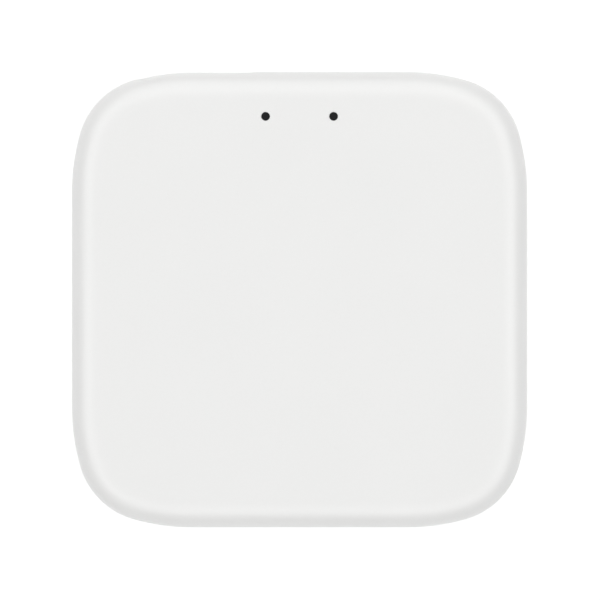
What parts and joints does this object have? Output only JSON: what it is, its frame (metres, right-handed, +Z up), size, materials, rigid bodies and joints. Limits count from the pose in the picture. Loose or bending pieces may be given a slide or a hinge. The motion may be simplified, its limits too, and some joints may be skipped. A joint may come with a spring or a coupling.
{
  "type": "smart home hub",
  "caption": "Soft-cornered square smart home hub: a low white puck with lamp windows in its roof, a rear network jack and power inlet, and a sprung reset button.",
  "frame": {"origin": "centre of the footprint, on the surface that the rubber feet stand on", "axes": "+Z up, +Y towards the rear with the Ethernet jack and the power inlet, +X towards the side with the reset button"},
  "size_m": [0.065, 0.065, 0.02],
  "materials": {
    "shell_white": "fine satin, moulded white ABS",
    "button_grey": "satin, moulded pale grey plastic",
    "foot_rubber": "matte soft rubber",
    "screw_steel": "zinc-plated",
    "label_film": "matte printed film, blank",
    "board_green": "semi-gloss solder mask on glass-epoxy laminate",
    "module_board": "semi-gloss dark blue solder mask",
    "connector_black": "fine matte glass-filled plastic",
    "connector_tin": "bright tin plate",
    "shield_nickel": "pressed nickel silver",
    "contact_gold": "gold flash",
    "solder_tin": "matte tin",
    "chip_epoxy": "fine matte moulding compound",
    "ferrite_grey": "dull pressed ferrite",
    "can_aluminium": "drawn",
    "crystal_can": "seam-welded lid",
    "ceramic_tan": "fired ceramic",
    "resistor_black": "glazed",
    "pipe_smoke": "dark smoked acrylic",
    "lamp_lens": "milky cast epoxy",
    "shroud_silicone": "matte silicone",
    "dome_steel": "spring steel"
  },
  "bodies": {
    "hub": {"base_cover": "shell_white", "board_screws": "screw_steel", "bulk_capacitor_bases": "connector_black", "bulk_capacitor_cans": "can_aluminium", "case_screws": "screw_steel", "ceramic_capacitors": "ceramic_tan", "chip_end_caps": "solder_tin", "chip_resistors": "resistor_black", "clock_crystals": "crystal_can", "component_leads": "solder_tin", "ethernet_jack_contacts": "contact_gold", "ethernet_jack_housing": "connector_black", "ethernet_jack_shield": "connector_tin", "flash_chip": "chip_epoxy", "foot_front_left": "foot_rubber", "foot_front_right": "foot_rubber", "foot_rear_left": "foot_rubber", "foot_rear_right": "foot_rubber", "lan_transformer": "chip_epoxy", "led_light_shroud": "shroud_silicone", "light_pipe_left": "pipe_smoke", "light_pipe_right": "pipe_smoke", "main_board": "board_green", "memory_chip": "chip_epoxy", "power_inductors": "ferrite_grey", "processor_chip": "chip_epoxy", "rating_label": "label_film", "reset_switch_bracket": "connector_tin", "reset_switch_dome": "dome_steel", "reset_switch_housing": "connector_black", "reset_switch_pins": "solder_tin", "status_led_left": "lamp_lens", "status_led_right": "lamp_lens", "top_cover": "shell_white", "usb_port_contacts": "contact_gold", "usb_port_insulator": "connector_black", "usb_port_shell": "connector_tin", "voltage_regulators": "chip_epoxy", "wifi_radio_antenna": "contact_gold", "wifi_radio_board": "module_board", "wifi_radio_chip": "chip_epoxy", "wifi_radio_shield": "shield_nickel", "zigbee_radio_antenna": "contact_gold", "zigbee_radio_board": "module_board", "zigbee_radio_chip": "chip_epoxy", "zigbee_radio_shield": "shield_nickel"},
    "reset_button": {"reset_button": "button_grey"},
    "switch_plunger": {"reset_switch_plunger": "connector_black"}
  },
  "joints": [
    {"name": "reset_button_press", "type": "slide", "parent": "hub", "child": "reset_button", "axis": [-1, 0, 0], "range_m": [0, 0.0003], "stiffness_N_per_m": 5000, "deforming": ["reset_switch_dome"]},
    {"name": "switch_plunger_press", "type": "slide", "parent": "hub", "child": "switch_plunger", "axis": [-1, 0, 0], "range_m": [0, 0.0003], "deforming": ["reset_switch_dome"]}
  ],
  "couplings": [
    {"joint": "switch_plunger_press", "follows": "reset_button_press", "ratio": 1}
  ]
}
